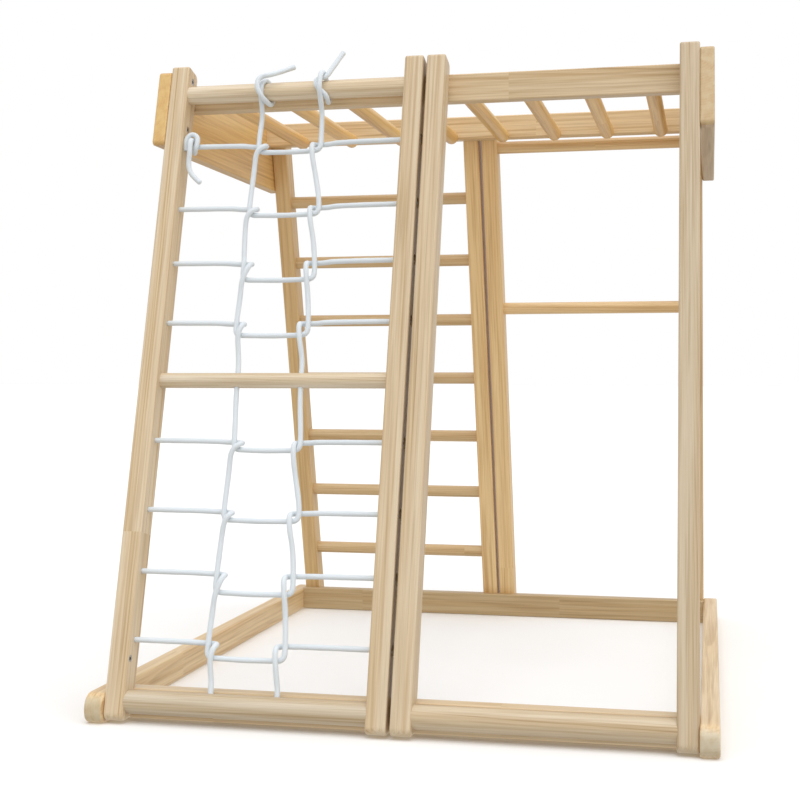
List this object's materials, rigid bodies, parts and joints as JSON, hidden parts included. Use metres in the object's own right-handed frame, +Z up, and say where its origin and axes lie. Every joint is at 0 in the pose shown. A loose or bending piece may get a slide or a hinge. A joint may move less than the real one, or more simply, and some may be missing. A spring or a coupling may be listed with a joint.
{
  "type": "climbing frame",
  "caption": "Pine climbing frame for a child: leaning panels on a flat base, a level ladder across the top, rung ladder at the rear and a looped rope net at the front.",
  "frame": {"origin": "floor level, at the centre of the base", "axes": "+Z up; -Y towards the front, where the rope net and the doorway are; +X to the right seen from the front"},
  "size_m": [1.003, 1.232, 1.1456],
  "materials": {
    "stile_pine": "satin",
    "board_pine": "satin",
    "bar_wood": "satin",
    "rope": "matte",
    "steel": "satin"
  },
  "bodies": {
    "root": {"front_left_stile": "stile_pine", "front_centre_left_stile": "stile_pine", "front_centre_right_stile": "stile_pine", "front_right_stile": "stile_pine", "rear_left_stile": "stile_pine", "rear_centre_left_stile": "stile_pine", "rear_centre_right_stile": "stile_pine", "rear_right_stile": "stile_pine", "left_skid": "board_pine", "right_skid": "board_pine", "left_end_board": "board_pine", "right_end_board": "board_pine", "front_base_rail": "board_pine", "rear_base_rail": "board_pine", "front_top_rail": "board_pine", "rear_top_rail": "board_pine", "net_top_bar": "bar_wood", "net_mid_bar": "bar_wood", "net_bottom_bar": "bar_wood", "doorway_bottom_bar": "bar_wood", "ladder_rung_1": "bar_wood", "ladder_rung_2": "bar_wood", "ladder_rung_3": "bar_wood", "ladder_rung_4": "bar_wood", "ladder_rung_5": "bar_wood", "ladder_rung_6": "bar_wood", "ladder_rung_7": "bar_wood", "rear_upper_bar": "bar_wood", "rear_mid_bar": "bar_wood", "monkey_bar_1": "bar_wood", "monkey_bar_2": "bar_wood", "monkey_bar_3": "bar_wood", "monkey_bar_4": "bar_wood", "monkey_bar_5": "bar_wood", "monkey_bar_6": "bar_wood", "monkey_bar_7": "bar_wood", "monkey_bar_8": "bar_wood", "rope_top": "rope", "rope_row_1": "rope", "rope_row_2": "rope", "rope_row_3": "rope", "rope_row_4": "rope", "rope_row_5": "rope", "rope_row_6": "rope", "rope_row_7": "rope", "rope_row_8_left": "rope", "rope_row_8_right": "rope", "top_bar_hitches": "rope", "rope_top_tail_left": "rope", "rope_top_tail_right": "rope", "row_1_knot": "rope", "rope_row_1_tail": "rope", "rope_stopper_knots": "rope", "end_board_bolts": "steel", "end_board_nuts": "steel", "foot_inserts": "steel", "skid_bolts": "steel", "rail_end_screws": "steel", "centre_stile_screws": "steel"}
  },
  "joints": []
}
